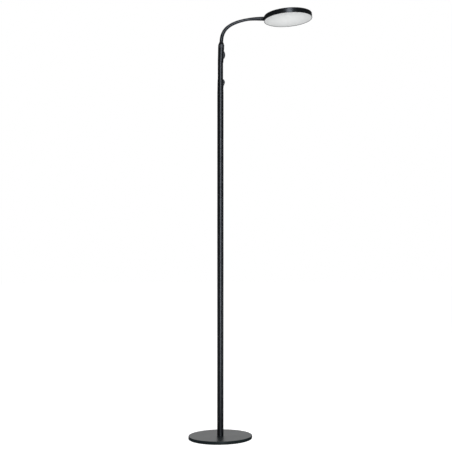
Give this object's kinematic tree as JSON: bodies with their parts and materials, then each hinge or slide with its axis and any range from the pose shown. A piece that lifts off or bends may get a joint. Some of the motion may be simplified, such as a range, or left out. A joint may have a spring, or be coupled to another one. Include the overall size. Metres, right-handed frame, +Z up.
{
  "type": "gooseneck floor lamp",
  "caption": "Slim floor reading lamp: round weighted base, sliding pole with a release lever, dimmer button, bendable neck and a flat round light head.",
  "frame": {"origin": "on the floor, under the pole's axis, at the centre of the base pad's underside", "axes": "+Z up along the pole, +X from the pole towards the lamp head at rest"},
  "size_m": [0.4324, 0.218, 1.4798],
  "materials": {
    "pad_rubber": "matt black soft rubber",
    "base_coat": "black satin powder coat on steel",
    "pole_coat": "black satin powder coat on steel",
    "plated_steel": "bright zinc plate",
    "jack_plastic": "black moulded plastic",
    "contact_brass": "plain brass",
    "collar_plastic": "black satin moulded plastic",
    "lever_plastic": "black satin moulded plastic",
    "spring_steel": "bright spring wire",
    "shoe_rubber": "dark hard rubber",
    "glide_plastic": "natural bearing plastic",
    "lead_sheath": "black flexible sheath",
    "housing_plastic": "black satin moulded plastic",
    "button_plastic": "black soft-touch plastic",
    "board_green": "green circuit board",
    "switch_body": "black moulded plastic",
    "ferrule_coat": "black satin coat on aluminium",
    "neck_steel": "dark steel",
    "neck_sheath": "black satin flexible sheath",
    "head_coat": "black satin coat on aluminium",
    "bare_aluminium": "plain rolled aluminium",
    "light_board_white": "white circuit board",
    "led_phosphor": "yellow phosphor",
    "reflector_white": "white moulded plastic",
    "diffuser_opal": "opal white acrylic, satin"
  },
  "bodies": {
    "stand": {"base_plate": "base_coat", "base_pad": "pad_rubber", "base_stud": "plated_steel", "foot_insert": "plated_steel", "lower_pole": "pole_coat", "power_jack": "jack_plastic", "jack_pin": "contact_brass", "joint_insert": "plated_steel", "joint_stud": "pole_coat", "upper_pole": "pole_coat", "height_collar": "collar_plastic", "lever_pin": "plated_steel", "lever_spring": "spring_steel", "lower_lead": "lead_sheath", "coil_lead": "lead_sheath"},
    "release_lever": {"release_lever": "lever_plastic", "brake_shoe": "shoe_rubber"},
    "glide": {"tube_glide": "glide_plastic"},
    "mast": {"inner_tube": "pole_coat", "upper_lead": "lead_sheath", "switch_housing": "housing_plastic", "switch_board": "board_green", "push_switch": "switch_body", "neck_ring": "ferrule_coat", "neck_cone": "ferrule_coat", "neck_root": "neck_steel", "neck_nut": "plated_steel"},
    "dimmer_button": {"dimmer_button": "button_plastic", "switch_plunger": "button_plastic"},
    "neck_link_1": {"neck_core_1": "neck_steel", "neck_sleeve_1": "neck_sheath"},
    "neck_link_2": {"neck_core_2": "neck_steel", "neck_sleeve_2": "neck_sheath"},
    "neck_link_3": {"neck_core_3": "neck_steel", "neck_sleeve_3": "neck_sheath"},
    "neck_link_4": {"neck_core_4": "neck_steel", "neck_sleeve_4": "neck_sheath"},
    "neck_link_5": {"neck_core_5": "neck_steel", "neck_sleeve_5": "neck_sheath"},
    "neck_link_6": {"neck_core_6": "neck_steel", "neck_sleeve_6": "neck_sheath"},
    "neck_link_7": {"neck_core_7": "neck_steel", "neck_sleeve_7": "neck_sheath"},
    "neck_link_8": {"neck_core_8": "neck_steel", "neck_sleeve_8": "neck_sheath"},
    "lamp_head": {"head_stem": "head_coat", "stem_nut": "plated_steel", "head_housing": "head_coat", "heat_spreader": "bare_aluminium", "led_board": "light_board_white", "led_chips": "led_phosphor", "head_screws": "plated_steel", "reflector_frame": "reflector_white", "diffuser": "diffuser_opal", "head_lead": "lead_sheath"}
  },
  "joints": [
    {"name": "height_slide", "type": "slide", "parent": "stand", "child": "glide", "axis": [0, 0, 1], "range_m": [-0.059, 0.2], "deforming": ["coil_lead"]},
    {"name": "mast_swivel", "type": "hinge", "parent": "glide", "child": "mast", "pos_m": [0, 0, 0.9599], "axis": [0, 0, 1], "range_deg": [-170, 170]},
    {"name": "lever_press", "type": "hinge", "parent": "stand", "child": "release_lever", "pos_m": [0.01165, 0, 1.2252], "axis": [0, -1, 0], "range_deg": [0, 5.5], "stiffness_Nm_per_rad": 0.5},
    {"name": "button_press", "type": "slide", "parent": "mast", "child": "dimmer_button", "axis": [-0.9993, 0, 0.0384], "range_m": [0, 0.0008], "stiffness_N_per_m": 900},
    {"name": "neck_bend_1", "type": "hinge", "parent": "mast", "child": "neck_link_1", "pos_m": [0.0038, 0, 1.38463], "axis": [0, 1, 0], "range_deg": [-40, 21]},
    {"name": "neck_sway_1", "type": "hinge", "parent": "neck_link_1", "child": "neck_link_2", "pos_m": [0.00647, 0, 1.39937], "axis": [-0.9636, 0, 0.2672], "range_deg": [-20, 20]},
    {"name": "neck_bend_2", "type": "hinge", "parent": "neck_link_2", "child": "neck_link_3", "pos_m": [0.01227, 0, 1.41316], "axis": [0, 1, 0], "range_deg": [-40, 5]},
    {"name": "neck_sway_2", "type": "hinge", "parent": "neck_link_3", "child": "neck_link_4", "pos_m": [0.02134, 0, 1.42505], "axis": [-0.712, 0, 0.7022], "range_deg": [-20, 20]},
    {"name": "neck_bend_3", "type": "hinge", "parent": "neck_link_4", "child": "neck_link_5", "pos_m": [0.03291, 0, 1.43456], "axis": [0, 1, 0], "range_deg": [-40, 14]},
    {"name": "neck_sway_3", "type": "hinge", "parent": "neck_link_5", "child": "neck_link_6", "pos_m": [0.046, 0, 1.44186], "axis": [-0.421, 0, 0.907], "range_deg": [-20, 20]},
    {"name": "neck_bend_4", "type": "hinge", "parent": "neck_link_6", "child": "neck_link_7", "pos_m": [0.05992, 0, 1.44744], "axis": [0, 1, 0], "range_deg": [-40, 24]},
    {"name": "neck_sway_4", "type": "hinge", "parent": "neck_link_7", "child": "neck_link_8", "pos_m": [0.07427, 0, 1.45177], "axis": [-0.2554, 0, 0.9668], "range_deg": [-20, 20]},
    {"name": "neck_bend_5", "type": "hinge", "parent": "neck_link_8", "child": "lamp_head", "pos_m": [0.08889, 0, 1.45512], "axis": [0, 1, 0], "range_deg": [-40, 26]}
  ]
}
